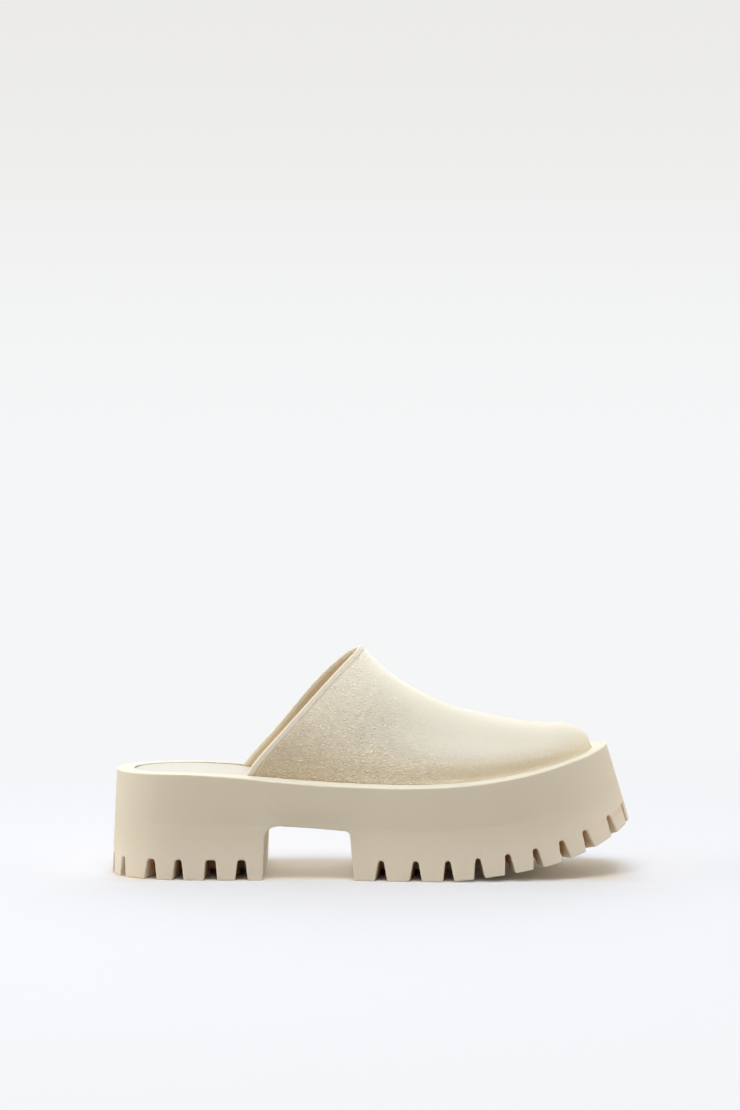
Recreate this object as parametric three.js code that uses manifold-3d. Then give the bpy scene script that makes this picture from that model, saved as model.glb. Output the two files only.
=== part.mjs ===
// A platform mule for the right foot: a deep lugged sole with a cut-out under the arch, a backless
// grained upper set into the sole's shallow tray, and an insole that fills the tray.
// Millimetres. +X runs to the toe, +Y to the inner (big toe) side, +Z up, the floor is z = 0.
import * as THREE from "three";
import { mergeVertices } from "three/addons/utils/BufferGeometryUtils.js";
import Module from "manifold-3d";

const wasm = await Module();
wasm.setup();

// Overall sizes of the shoe
const SOLE_LENGTH = 280;
const BALL_WIDTH = 98.4;
const HEEL_HEIGHT = 56;
const TOE_SPRING = 28.1;
const TOE_LEAN = 11;
const UPPER_RISE = 71.5;

// Side wall of the sole
const RIM_INSET = 1.5;
const CREASE_SHARE = 0.53;
const CREASE_DEPTH = 1.1;
const CREASE_FADE = 6;
const WAIST_TUCK = 1.3;
const RIM_BEVEL = 1.2;
const LEDGE_WIDTH = 8.6;

// Cut-out under the arch
const ARCH_REAR_SHARE = 0.2955;
const ARCH_FRONT_SHARE = 0.468;
const ARCH_HEIGHT_REAR = 28.2;
const ARCH_HEIGHT_FRONT = 25.8;
const ARCH_REAR_RADIUS = 8;
const ARCH_FRONT_RADIUS = 3;
const ARCH_REAR_DRAFT = 0.8;
const ARCH_FRONT_DRAFT = 2.2;

// Notches that part the lugs round the tread, and the grooves that join them across it
const NOTCH_DEPTH = 10.6;
const NOTCH_REACH = 22;
const END_NOTCH_REACH = 14;
const NOTCH_RADIUS = 1;
const NOTCH_WIDTH = 6.5;
const GROOVE_WIDTH = 3;
const GROOVE_DEPTH = 3.6;
const GROOVE_END_SHARE = 0.1;

// Tray in the top of the sole, with the insole and the foot of the upper in it
const TRAY_DEPTH = 5.4;
const CLEARANCE = 0.3;
const WALL = 2.4;
const INSOLE_GROOVE = 0.5;
const INSOLE_DROP = 2.2;
const INSOLE_HEEL_DROP = 0.5;
const INSOLE_DROP_START = 0.1;
const INSOLE_DROP_END = 0.5;
const INSOLE_ROUND = 0.6;
const INSOLE_DISH = 1;

// Collar of the upper
const COLLAR_LATERAL_SHARE = 0.2629;
const COLLAR_MEDIAL_SHARE = 0.2475;
const COLLAR_BOW = 8;
const BAND_WIDTH = 2.6;
const BAND_STEP = 0.35;

// How finely the curves are divided
const SIDE_POINTS = 64;
const LOOP_POINTS = 2 * SIDE_POINTS;
const UPPER_STATIONS = 38;
const SECTION_STEPS = 13;
const BEAD_STEPS = 4;
const ARCH_STEPS = 6;
const NOTCH_STEPS = 2;

// Outline of the tread: along as a share of SOLE_LENGTH from the heel, across as a share of BALL_WIDTH
const OUTLINE = [
  { along: 0, across: -0.035 },
  { along: 0.009, across: -0.168 },
  { along: 0.029, across: -0.279 },
  { along: 0.07, across: -0.365 },
  { along: 0.121, across: -0.412 },
  { along: 0.19, across: -0.431 },
  { along: 0.33, across: -0.428 },
  { along: 0.464, across: -0.443 },
  { along: 0.56, across: -0.476 },
  { along: 0.68, across: -0.5 },
  { along: 0.793, across: -0.47 },
  { along: 0.857, across: -0.43 },
  { along: 0.911, across: -0.372 },
  { along: 0.954, across: -0.287 },
  { along: 0.985, across: -0.168 },
  { along: 1, across: 0.01 },
  { along: 0.991, across: 0.158 },
  { along: 0.966, across: 0.285 },
  { along: 0.925, across: 0.39 },
  { along: 0.871, across: 0.459 },
  { along: 0.78, across: 0.5 },
  { along: 0.66, across: 0.472 },
  { along: 0.557, across: 0.413 },
  { along: 0.464, across: 0.368 },
  { along: 0.33, across: 0.342 },
  { along: 0.196, across: 0.356 },
  { along: 0.129, across: 0.348 },
  { along: 0.075, across: 0.301 },
  { along: 0.036, across: 0.222 },
  { along: 0.009, across: 0.108 },
];

// Side view of the sole: tread as a share of TOE_SPRING, top as a share of HEEL_HEIGHT, lean of the
// wall as a share of TOE_LEAN, bevel of RIM_BEVEL and the ledge on either side of LEDGE_WIDTH
const SIDE_VIEW = [
  { along: 0, tread: 0, top: 1.004, lean: -0.1, bevel: 0.35, lateralLedge: 1.06, medialLedge: 1.06 },
  { along: 0.08, tread: 0, top: 1.002, lean: -0.03, bevel: 0.35, lateralLedge: 1, medialLedge: 1.0 },
  { along: 0.16, tread: 0, top: 1, lean: 0, bevel: 0.35, lateralLedge: 0.98, medialLedge: 0.92 },
  { along: 0.24, tread: 0, top: 0.98, lean: 0, bevel: 0.55, lateralLedge: 1.02, medialLedge: 0.66 },
  { along: 0.32, tread: 0, top: 0.945, lean: 0, bevel: 0.95, lateralLedge: 1.2, medialLedge: 0.52 },
  { along: 0.4, tread: 0, top: 0.914, lean: 0, bevel: 1, lateralLedge: 1.3, medialLedge: 0.5 },
  { along: 0.48, tread: 0, top: 0.898, lean: 0, bevel: 1, lateralLedge: 1.15, medialLedge: 0.55 },
  { along: 0.56, tread: 0, top: 0.893, lean: 0, bevel: 1, lateralLedge: 0.98, medialLedge: 0.65 },
  { along: 0.64, tread: 0.011, top: 0.907, lean: 0.09, bevel: 1, lateralLedge: 0.92, medialLedge: 0.76 },
  { along: 0.72, tread: 0.085, top: 0.938, lean: 0.345, bevel: 1, lateralLedge: 0.94, medialLedge: 0.85 },
  { along: 0.8, tread: 0.21, top: 0.989, lean: 0.65, bevel: 1, lateralLedge: 0.94, medialLedge: 0.9 },
  { along: 0.86, tread: 0.35, top: 1.043, lean: 0.86, bevel: 0.9, lateralLedge: 0.9, medialLedge: 0.9 },
  { along: 0.92, tread: 0.575, top: 1.116, lean: 0.97, bevel: 0.7, lateralLedge: 0.86, medialLedge: 0.86 },
  { along: 0.96, tread: 0.775, top: 1.171, lean: 1, bevel: 0.5, lateralLedge: 0.86, medialLedge: 0.86 },
  { along: 1, tread: 1, top: 1.241, lean: 1, bevel: 0.35, lateralLedge: 0.88, medialLedge: 0.88 },
];

// Notches on both sides of the tread, heel then forefoot: widths at foot and head as shares of NOTCH_WIDTH
const NOTCHES = [
  { along: 0.0036, foot: 0.95, head: 0.45 },
  { along: 0.027, foot: 0.75, head: 0.4 },
  { along: 0.0812, foot: 1.08, head: 0.6 },
  { along: 0.1362, foot: 0.92, head: 0.5 },
  { along: 0.1976, foot: 1.08, head: 0.8 },
  { along: 0.255, foot: 1.03, head: 0.62 },
  { along: 0.5179, foot: 1.01, head: 0.4 },
  { along: 0.5829, foot: 1.03, head: 0.4 },
  { along: 0.645, foot: 0.92, head: 0.38 },
  { along: 0.705, foot: 0.9, head: 0.38 },
  { along: 0.7604, foot: 0.9, head: 0.38 },
  { along: 0.8154, foot: 0.88, head: 0.38 },
  { along: 0.8675, foot: 0.9, head: 0.4 },
  { along: 0.915, foot: 0.9, head: 0.4 },
  { along: 0.9643, foot: 0.85, head: 0.4 },
  { along: 0.993, foot: 0.8, head: 0.4 },
];

// Ridge of the upper from the collar to the toe: rise above the ledge as a share of UPPER_RISE
const RIDGE = [
  { along: 0.4825, rise: 1, across: 0 },
  { along: 0.513, rise: 0.876, across: 0.002 },
  { along: 0.548, rise: 0.766, across: 0.006 },
  { along: 0.595, rise: 0.649, across: 0.012 },
  { along: 0.653, rise: 0.534, across: 0.02 },
  { along: 0.714, rise: 0.448, across: 0.026 },
  { along: 0.786, rise: 0.35, across: 0.03 },
  { along: 0.839, rise: 0.283, across: 0.032 },
  { along: 0.874, rise: 0.243, across: 0.034 },
  { along: 0.8975, rise: 0.188, across: 0.034 },
  { along: 0.918, rise: 0.106, across: 0.034 },
];

// Cross sections of the upper from collar (0) to toe (1). A power of 2 is an ellipse and more is squarer;
// the bulge over the foot of the wall is a share of the half width.
const SECTIONS = [
  { along: 0, lateralPower: 2.35, medialPower: 2.45, bulge: 0.06 },
  { along: 0.35, lateralPower: 2.2, medialPower: 2.3, bulge: 0.07 },
  { along: 0.7, lateralPower: 2.15, medialPower: 2.2, bulge: 0.06 },
  { along: 1, lateralPower: 2.2, medialPower: 2.2, bulge: 0.03 },
];

// How far the collar's edge bows back from a straight line, as shares of COLLAR_BOW
const COLLAR = [
  { along: 0, lateral: 0, medial: 0 },
  { along: 0.1, lateral: 0.2, medial: 0.12 },
  { along: 0.3, lateral: 0.22, medial: 0.21 },
  { along: 0.5, lateral: 0.21, medial: 0.45 },
  { along: 0.7, lateral: 0.15, medial: 0.63 },
  { along: 0.85, lateral: 0.08, medial: 0.56 },
  { along: 0.95, lateral: -0.02, medial: 0.35 },
  { along: 1, lateral: 0, medial: 0 },
];

// Smooth value of one column of a table at a place along it, by cubic Hermite pieces
function lookUp(table, column, along) {
  const last = table.length - 1;
  const at = THREE.MathUtils.clamp(along, table[0].along, table[last].along);
  let i = 0;
  while (i < last - 1 && table[i + 1].along < at) i += 1;
  const slope = (k) => {
    const a = table[Math.max(k - 1, 0)];
    const b = table[Math.min(k + 1, last)];
    return (b[column] - a[column]) / (b.along - a.along);
  };
  const span = table[i + 1].along - table[i].along;
  const t = (at - table[i].along) / span;
  const t2 = t * t;
  const t3 = t2 * t;
  return (
    (2 * t3 - 3 * t2 + 1) * table[i][column] +
    (t3 - 2 * t2 + t) * span * slope(i) +
    (3 * t2 - 2 * t3) * table[i + 1][column] +
    (t3 - t2) * span * slope(i + 1)
  );
}

const lengthAt = (share) => (share - 0.5) * SOLE_LENGTH;
const shareAt = (x) => x / SOLE_LENGTH + 0.5;
const treadHeight = (share) => TOE_SPRING * Math.max(0, lookUp(SIDE_VIEW, "tread", share));

// The tread's outline as a closed loop of points, anticlockwise from above, from the middle of the heel
function treadLoop() {
  const curve = new THREE.CatmullRomCurve3(
    OUTLINE.map((p) => new THREE.Vector3(p.along, p.across, 0)),
    true,
    "centripetal",
  );
  const box = new THREE.Box3().setFromPoints(curve.getPoints(OUTLINE.length * 20));
  const size = box.getSize(new THREE.Vector3());
  const middle = box.getCenter(new THREE.Vector3());
  const scaled = new THREE.CatmullRomCurve3(
    OUTLINE.map(
      (p) =>
        new THREE.Vector3(
          ((p.along - middle.x) / size.x) * SOLE_LENGTH,
          ((p.across - middle.y) / size.y) * BALL_WIDTH,
          0,
        ),
    ),
    true,
    "centripetal",
  );
  return scaled.getSpacedPoints(LOOP_POINTS).slice(0, LOOP_POINTS);
}

// Outward direction of a loop at each of its points, level with the floor
function outwards(loop) {
  return loop.map((p, i) => {
    const before = loop[(i + loop.length - 1) % loop.length];
    const after = loop[(i + 1) % loop.length];
    return new THREE.Vector3(after.y - before.y, before.x - after.x, 0).normalize();
  });
}

// A loop moved inwards by the distance that a function gives for each point's index
function inset(loop, distance) {
  const normals = outwards(loop);
  return loop.map((p, i) => p.clone().addScaledVector(normals[i], -distance(i)));
}

const withHeight = (loop, height) => loop.map((p, i) => new THREE.Vector3(p.x, p.y, height(p, i)));

const tread = treadLoop();
const shares = tread.map((p) => shareAt(p.x));
const column = (name) => shares.map((share) => lookUp(SIDE_VIEW, name, share));
const lean = column("lean").map((share) => share * TOE_LEAN);
const topAtShare = column("top").map((share) => share * HEEL_HEIGHT);
const bevel = column("bevel").map((share) => share * RIM_BEVEL);
const ledges = { lateral: column("lateralLedge"), medial: column("medialLedge") };
const ledge = tread.map((p, i) => ledges[i <= SIDE_POINTS ? "lateral" : "medial"][i] * LEDGE_WIDTH);

const rim = inset(tread, () => RIM_INSET).map((p, i) => p.setX(p.x - lean[i]));
const tray = inset(rim, (i) => bevel[i] + ledge[i]);

// Height of the sole's top at any x: the ledge rises and falls along the shoe and is level across it
function topHeight(x) {
  const half = SIDE_POINTS;
  let i = 0;
  while (i < half - 1 && rim[i + 1].x < x) i += 1;
  const t = (x - rim[i].x) / (rim[i + 1].x - rim[i].x);
  return THREE.MathUtils.lerp(topAtShare[i], topAtShare[i + 1], THREE.MathUtils.clamp(t, 0, 1));
}

// 0 at both ends of the cut-out and 1 over its middle
function archShare(share) {
  const t = (share - ARCH_REAR_SHARE) / (ARCH_FRONT_SHARE - ARCH_REAR_SHARE);
  return Math.sin(Math.PI * THREE.MathUtils.clamp(t, 0, 1)) ** 2;
}

// A closed surface through loops of equally many points, first and last closed across from side to side
function throughLoops(loops) {
  const count = loops[0].length;
  const half = count / 2;
  const index = [];
  for (let row = 0; row < loops.length - 1; row += 1)
    for (let i = 0; i < count; i += 1) {
      const a = row * count + i;
      const b = row * count + ((i + 1) % count);
      index.push(a, b, b + count, a, b + count, a + count);
    }
  const last = (loops.length - 1) * count;
  for (let i = 0; i < half; i += 1) {
    const [l0, l1, m0, m1] = [i, i + 1, (count - i) % count, count - i - 1];
    if (m1 !== l1) index.push(last + l0, last + l1, last + m1, l0, m1, l1);
    if (m0 !== l0) index.push(last + l0, last + m1, last + m0, l0, m0, m1);
  }
  return indexed(loops.flat(), index);
}

function indexed(points, index) {
  const geometry = new THREE.BufferGeometry().setFromPoints(points);
  geometry.setIndex(index);
  return geometry;
}

// A geometry as a solid for cuts, and back
function solidOf(geometry) {
  const bare = geometry.clone();
  bare.deleteAttribute("normal");
  bare.deleteAttribute("uv");
  const merged = mergeVertices(bare, 1e-4);
  const triVerts = new Uint32Array(merged.index.array);
  const vertProperties = merged.attributes.position.array;
  return new wasm.Manifold(new wasm.Mesh({ numProp: 3, vertProperties, triVerts }));
}

function geometryOf(solid) {
  const mesh = solid.getMesh();
  const positions = new Float32Array(mesh.numVert * 3);
  for (let i = 0; i < mesh.numVert; i += 1)
    positions.set(mesh.vertProperties.subarray(i * mesh.numProp, i * mesh.numProp + 3), i * 3);
  const geometry = new THREE.BufferGeometry();
  geometry.setAttribute("position", new THREE.BufferAttribute(positions, 3));
  geometry.setIndex(new THREE.BufferAttribute(new Uint32Array(mesh.triVerts), 1));
  return geometry;
}

// Sole: the block with its creased side, bevelled rim, ledge and tray
function soleBlock() {
  const foot = withHeight(tread, (p, i) => treadHeight(shares[i]));
  const rimEdge = withHeight(rim, (p, i) => topAtShare[i] - bevel[i]);
  const straight = foot.map((p, i) => p.clone().lerp(rimEdge[i], CREASE_SHARE));
  const fade = (share) => 1 - Math.abs(2 * share - 1) ** CREASE_FADE;
  const depth = (share) => CREASE_DEPTH * fade(share) + WAIST_TUCK * archShare(share);
  const crease = inset(straight, (i) => depth(shares[i]));
  const ledgeEdge = withHeight(inset(rim, (i) => bevel[i]), (p) => topHeight(p.x));
  const trayEdge = withHeight(tray, (p) => topHeight(p.x));
  const trayFloor = withHeight(tray, (p) => topHeight(p.x) - TRAY_DEPTH);
  return solidOf(throughLoops([foot, crease, rimEdge, ledgeEdge, trayEdge, trayFloor]));
}

// The prism that cuts the arch out, across the whole sole
function archCutter() {
  const [rear, front] = [lengthAt(ARCH_REAR_SHARE), lengthAt(ARCH_FRONT_SHARE)];
  const below = -HEEL_HEIGHT / 4;
  const rearTop = rear + ARCH_REAR_DRAFT;
  const frontTop = front - ARCH_FRONT_DRAFT;
  const profile = new THREE.Shape();
  profile.moveTo(rear, below);
  profile.lineTo(front, below);
  profile.lineTo(front, 0);
  profile.lineTo(frontTop, ARCH_HEIGHT_FRONT - ARCH_FRONT_RADIUS);
  profile.quadraticCurveTo(frontTop, ARCH_HEIGHT_FRONT, frontTop - ARCH_FRONT_RADIUS, ARCH_HEIGHT_FRONT);
  profile.lineTo(rearTop + ARCH_REAR_RADIUS, ARCH_HEIGHT_REAR);
  profile.quadraticCurveTo(rearTop, ARCH_HEIGHT_REAR, rearTop, ARCH_HEIGHT_REAR - ARCH_REAR_RADIUS);
  profile.lineTo(rear, 0);
  const across = 2 * BALL_WIDTH;
  const settings = { depth: across, bevelEnabled: false, curveSegments: ARCH_STEPS };
  const geometry = new THREE.ExtrudeGeometry(profile, settings);
  geometry.rotateX(Math.PI / 2);
  geometry.translate(0, across / 2, 0);
  return solidOf(geometry);
}

// Place on the tread's edge at a distance from the start of the loop, with its three directions
function edgePlace(distance) {
  const foot = withHeight(tread, (p, i) => treadHeight(shares[i]));
  const rimEdge = withHeight(rim, (p, i) => topAtShare[i] - bevel[i]);
  let [i, left] = [0, distance];
  const step = (k) => foot[k].distanceTo(foot[(k + 1) % LOOP_POINTS]);
  while (left > step(i) && i < LOOP_POINTS - 1) {
    left -= step(i);
    i += 1;
  }
  const t = left / step(i);
  const next = (i + 1) % LOOP_POINTS;
  const point = foot[i].clone().lerp(foot[next], t);
  const after = foot[(next + 1) % LOOP_POINTS];
  const before = foot[(i + LOOP_POINTS - 1) % LOOP_POINTS];
  const forward = after.clone().sub(before).normalize();
  const wall = rimEdge[i].clone().lerp(rimEdge[next], t).sub(point);
  const outward = forward.clone().cross(wall).normalize();
  const axis = outward.clone().cross(forward).add(wall.normalize()).multiplyScalar(0.5);
  return { point, frame: new THREE.Matrix4().makeBasis(forward, axis, outward), outward };
}

// Lengths along the tread's edge from the middle of the heel to the toe and round to the heel again
function edgeLengths() {
  const foot = withHeight(tread, (p, i) => treadHeight(shares[i]));
  const at = [0];
  for (let i = 0; i < LOOP_POINTS; i += 1)
    at.push(at[i] + foot[i].distanceTo(foot[(i + 1) % LOOP_POINTS]));
  return at;
}

// Distance along the tread's edge at a share of the length: side is 1 on the lateral, -1 on the medial
function edgeDistance(share, side) {
  const at = edgeLengths();
  for (let i = 0; i < SIDE_POINTS; i += 1) {
    const [a, b] = side > 0 ? [i, i + 1] : [LOOP_POINTS - i, LOOP_POINTS - i - 1];
    const [from, to] = [shares[a % LOOP_POINTS], shares[b]];
    if (to < share || to <= from) continue;
    return THREE.MathUtils.lerp(at[a], at[b], Math.max(0, (share - from) / (to - from)));
  }
  return at[SIDE_POINTS];
}

// One notch: narrower at its rounded head than at the tread
function notchCutter(distance, foot, head, reach) {
  const below = NOTCH_DEPTH / 2;
  const spread = (foot - head) / 2 / NOTCH_DEPTH;
  const outer = foot / 2 + spread * below;
  const inner = head / 2;
  const shoulder = inner + spread * NOTCH_RADIUS;
  const profile = new THREE.Shape();
  profile.moveTo(-outer, -below);
  profile.lineTo(outer, -below);
  profile.lineTo(shoulder, NOTCH_DEPTH - NOTCH_RADIUS);
  profile.quadraticCurveTo(inner, NOTCH_DEPTH, inner - NOTCH_RADIUS, NOTCH_DEPTH);
  profile.lineTo(NOTCH_RADIUS - inner, NOTCH_DEPTH);
  profile.quadraticCurveTo(-inner, NOTCH_DEPTH, -shoulder, NOTCH_DEPTH - NOTCH_RADIUS);
  const depth = reach + NOTCH_DEPTH;
  const settings = { depth, bevelEnabled: false, curveSegments: NOTCH_STEPS };
  const geometry = new THREE.ExtrudeGeometry(profile, settings);
  geometry.translate(0, 0, -reach);
  const { point, frame } = edgePlace(distance);
  return solidOf(geometry.applyMatrix4(frame).translate(...point.toArray()));
}

// A shallow groove across the tread between two opposite notches
function grooveCutter(lateral, medial) {
  const [a, b] = [edgePlace(lateral), edgePlace(medial)];
  const from = a.point.clone().addScaledVector(a.outward, -NOTCH_REACH / 2);
  const to = b.point.clone().addScaledVector(b.outward, -NOTCH_REACH / 2);
  const across = to.clone().sub(from);
  const middle = from.clone().lerp(to, 0.5);
  const geometry = new THREE.BoxGeometry(GROOVE_WIDTH, across.length(), 2 * GROOVE_DEPTH);
  geometry.rotateZ(Math.atan2(-across.x, across.y));
  return solidOf(geometry.translate(middle.x, middle.y, (from.z + to.z) / 2));
}

// The sole with its arch, its notches on both sides and at the very toe, and its grooves: the notches
// round the heel and the toe reach in less, and have no groove between them
function sole() {
  const cutters = [archCutter()];
  const toe = NOTCHES[NOTCHES.length - 1];
  const notch = (distance, { foot, head }, reach) =>
    notchCutter(distance, foot * NOTCH_WIDTH, head * NOTCH_WIDTH, reach);
  cutters.push(notch(edgeLengths()[SIDE_POINTS], toe, END_NOTCH_REACH));
  for (const row of NOTCHES) {
    const [lateral, medial] = [edgeDistance(row.along, 1), edgeDistance(row.along, -1)];
    const inside = row.along > GROOVE_END_SHARE && row.along < 1 - GROOVE_END_SHARE;
    const reach = inside ? NOTCH_REACH : END_NOTCH_REACH;
    cutters.push(notch(lateral, row, reach), notch(medial, row, reach));
    if (inside) cutters.push(grooveCutter(lateral, medial));
  }
  return geometryOf(cutters.reduce((block, cutter) => block.subtract(cutter), soleBlock()));
}

// Insole: fills the tray at the heel and stands inside the foot of the upper in front of the collar
function insole() {
  const [narrow, wide] = [2 * CLEARANCE + WALL + CLEARANCE / 2, INSOLE_GROOVE];
  const start = lengthAt(Math.min(COLLAR_LATERAL_SHARE, COLLAR_MEDIAL_SHARE)) - TRAY_DEPTH - 2 * WALL;
  const margin = (p) => {
    const t = THREE.MathUtils.smoothstep(p.x, start, start + WALL);
    return THREE.MathUtils.lerp(wide, narrow, t);
  };
  const edge = inset(tray, (i) => margin(tray[i]));
  const drop = (x) => {
    const t = THREE.MathUtils.smoothstep(shareAt(x), INSOLE_DROP_START, INSOLE_DROP_END);
    return THREE.MathUtils.lerp(INSOLE_HEEL_DROP, INSOLE_DROP, t);
  };
  const top = (p) => topHeight(p.x) - drop(p.x);
  const inner = inset(edge, () => INSOLE_ROUND);
  const middle = inset(tray, () => 2 * LEDGE_WIDTH);
  return throughLoops([
    withHeight(edge, (p) => topHeight(p.x) - TRAY_DEPTH + CLEARANCE),
    withHeight(edge, (p) => top(p) - INSOLE_ROUND),
    withHeight(inner, top),
    withHeight(middle, (p) => top(p) - INSOLE_DISH),
  ]);
}

// Foot of the upper on one side, from the collar to the toe, just inside the tray's edge
function upperFoot(side, collarShare) {
  const loop = inset(tray, () => CLEARANCE);
  const start = lengthAt(collarShare) + WALL / 2;
  const oneSide = [];
  for (let i = 0; i <= SIDE_POINTS; i += 1)
    oneSide.push(loop[side > 0 ? i : (LOOP_POINTS - i) % LOOP_POINTS]);
  const first = oneSide.findIndex((p) => p.x > start);
  const before = oneSide[first - 1];
  const run = oneSide.slice(first);
  run.unshift(before.clone().lerp(run[0], (start - before.x) / (run[0].x - before.x)));
  return new THREE.CatmullRomCurve3(run, false, "centripetal");
}

const lateralFoot = upperFoot(1, COLLAR_LATERAL_SHARE);
const medialFoot = upperFoot(-1, COLLAR_MEDIAL_SHARE);
const toeTip = tray[SIDE_POINTS].clone().setX(tray[SIDE_POINTS].x - CLEARANCE);

const ridge = new THREE.CatmullRomCurve3(
  [
    ...RIDGE.map((row) => {
      const x = lengthAt(row.along);
      return new THREE.Vector3(x, row.across * BALL_WIDTH, topHeight(x) + row.rise * UPPER_RISE);
    }),
    toeTip.clone().setZ(topHeight(toeTip.x)),
  ],
  false,
  "centripetal",
);

// A point of the upper's outside: u runs from the collar (0) to the toe (1), v from the lateral foot (-1)
// over the ridge (0) to the medial foot (1)
function upperPoint(u, v) {
  const side = v < 0 ? "lateral" : "medial";
  const foot = (v < 0 ? lateralFoot : medialFoot).getPointAt(u);
  const crest = ridge.getPointAt(u);
  const power = 2 / lookUp(SECTIONS, side + "Power", u);
  const angle = ((1 - Math.abs(v)) * Math.PI) / 2;
  const rise = Math.max(0, Math.sin(angle)) ** power;
  const bulge = lookUp(SECTIONS, "bulge", u) * Math.sin(Math.PI * Math.min(1, rise * 1.4)) ** 2;
  const across = Math.max(0, Math.cos(angle)) ** power + bulge;
  const bow = COLLAR_BOW * lookUp(COLLAR, side, rise) * (1 - u) ** 3;
  return new THREE.Vector3(
    THREE.MathUtils.lerp(foot.x, crest.x, rise) - bow,
    THREE.MathUtils.lerp(crest.y, foot.y, across),
    THREE.MathUtils.lerp(topHeight(foot.x), crest.z, rise),
  );
}

// The upper's outside as a grid of points with outward normals: a station in each row, and in each row
// the lateral skirt inside the tray, the section over the ridge, and the medial skirt
function upperGrid() {
  const stations = [0, BAND_WIDTH, BAND_WIDTH + BAND_STEP].map((d) => d / ridge.getLength());
  const first = stations[2];
  for (let j = 1; j <= UPPER_STATIONS; j += 1) stations.push(first + ((1 - first) * j) / UPPER_STATIONS);
  const steps = 2 * SECTION_STEPS;
  const grid = stations.map((u) => {
    const row = [];
    for (let k = 0; k <= steps; k += 1) row.push(upperPoint(u, k / SECTION_STEPS - 1));
    const skirt = (p) => p.clone().setZ(p.z - TRAY_DEPTH + CLEARANCE);
    return [skirt(row[0]), ...row, skirt(row[steps])];
  });
  const last = grid.length - 1;
  const width = grid[0].length;
  const normals = grid.map((row, j) =>
    row.map((p, k) => {
      if (j === last) return new THREE.Vector3(1, 0, 0);
      const wall = k < 2 || k > width - 3;
      const along = grid[Math.min(j + 1, last)][k].clone().sub(grid[Math.max(j - 1, 0)][k]);
      if (wall) return new THREE.Vector3(along.y, -along.x, 0).multiplyScalar(k < 2 ? 1 : -1).normalize();
      return along.cross(row[k + 1].clone().sub(row[k - 1])).normalize();
    }),
  );
  return { grid, normals };
}

// Upper: one wall, open at the collar and underneath, round along the collar's edge, with the smooth
// band beside that edge a step lower than the rest
function upper() {
  const { grid, normals } = upperGrid();
  const [last, width] = [grid.length - 1, grid[0].length];
  const depth = (j) => (j < 2 ? BAND_STEP : 0);
  const offset = (j, k, by) => grid[j][k].clone().addScaledVector(normals[j][k], -by);
  const points = [];
  const keep = (p) => points.push(p) - 1;
  const skin = (by) => {
    const rows = [];
    for (let j = 0; j < last; j += 1) rows.push(grid[j].map((p, k) => keep(offset(j, k, by(j)))));
    const [skirt, tip] = [keep(offset(last, 0, by(last))), keep(offset(last, 1, by(last)))];
    rows.push(grid[last].map((p, k) => (k === 0 || k === width - 1 ? skirt : tip)));
    return rows;
  };
  const outside = skin(depth);
  const inside = skin(() => WALL);
  const beads = outside[0].map((out, k) => {
    const inner = inside[0][k];
    const centre = points[out].clone().lerp(points[inner], 0.5);
    const arm = points[out].clone().sub(centre);
    const back = grid[0][k].clone().sub(grid[1][k]);
    back.addScaledVector(normals[0][k], -back.dot(normals[0][k])).setLength(arm.length());
    const bead = [out];
    for (let m = 1; m < BEAD_STEPS; m += 1) {
      const angle = (m * Math.PI) / BEAD_STEPS;
      const p = centre.clone().addScaledVector(arm, Math.cos(angle)).addScaledVector(back, Math.sin(angle));
      bead.push(keep(p));
    }
    return [...bead, inner];
  });
  const index = [];
  const face = (a, b, c) => {
    if (a !== b && b !== c && a !== c) index.push(a, b, c);
  };
  const quad = (a, b, c, d) => {
    face(a, b, c);
    face(a, c, d);
  };
  for (let j = 0; j < last; j += 1) {
    for (let k = 0; k < width - 1; k += 1) {
      quad(outside[j][k], outside[j + 1][k], outside[j + 1][k + 1], outside[j][k + 1]);
      quad(inside[j][k], inside[j][k + 1], inside[j + 1][k + 1], inside[j + 1][k]);
    }
    quad(outside[j][0], inside[j][0], inside[j + 1][0], outside[j + 1][0]);
    const k = width - 1;
    quad(outside[j][k], outside[j + 1][k], inside[j + 1][k], inside[j][k]);
  }
  for (let m = 0; m < BEAD_STEPS; m += 1) {
    for (let k = 0; k < width - 1; k += 1)
      quad(beads[k][m], beads[k + 1][m], beads[k + 1][m + 1], beads[k][m + 1]);
    face(beads[0][0], beads[0][m], beads[0][m + 1]);
    face(beads[width - 1][0], beads[width - 1][m + 1], beads[width - 1][m]);
  }
  return indexed(points, index);
}

function mesh(name, geometry, color, roughness) {
  const part = new THREE.Mesh(geometry, new THREE.MeshStandardMaterial({ color, roughness, metalness: 0 }));
  part.name = name;
  return part;
}

const shoe = new THREE.Group();
shoe.add(mesh("sole", sole(), "#cfc6b0", 0.6));
shoe.add(mesh("insole", insole(), "#f0ece0", 0.6));
shoe.add(mesh("upper", upper(), "#ddd4c0", 0.5));

export default shoe;
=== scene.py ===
import math

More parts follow.
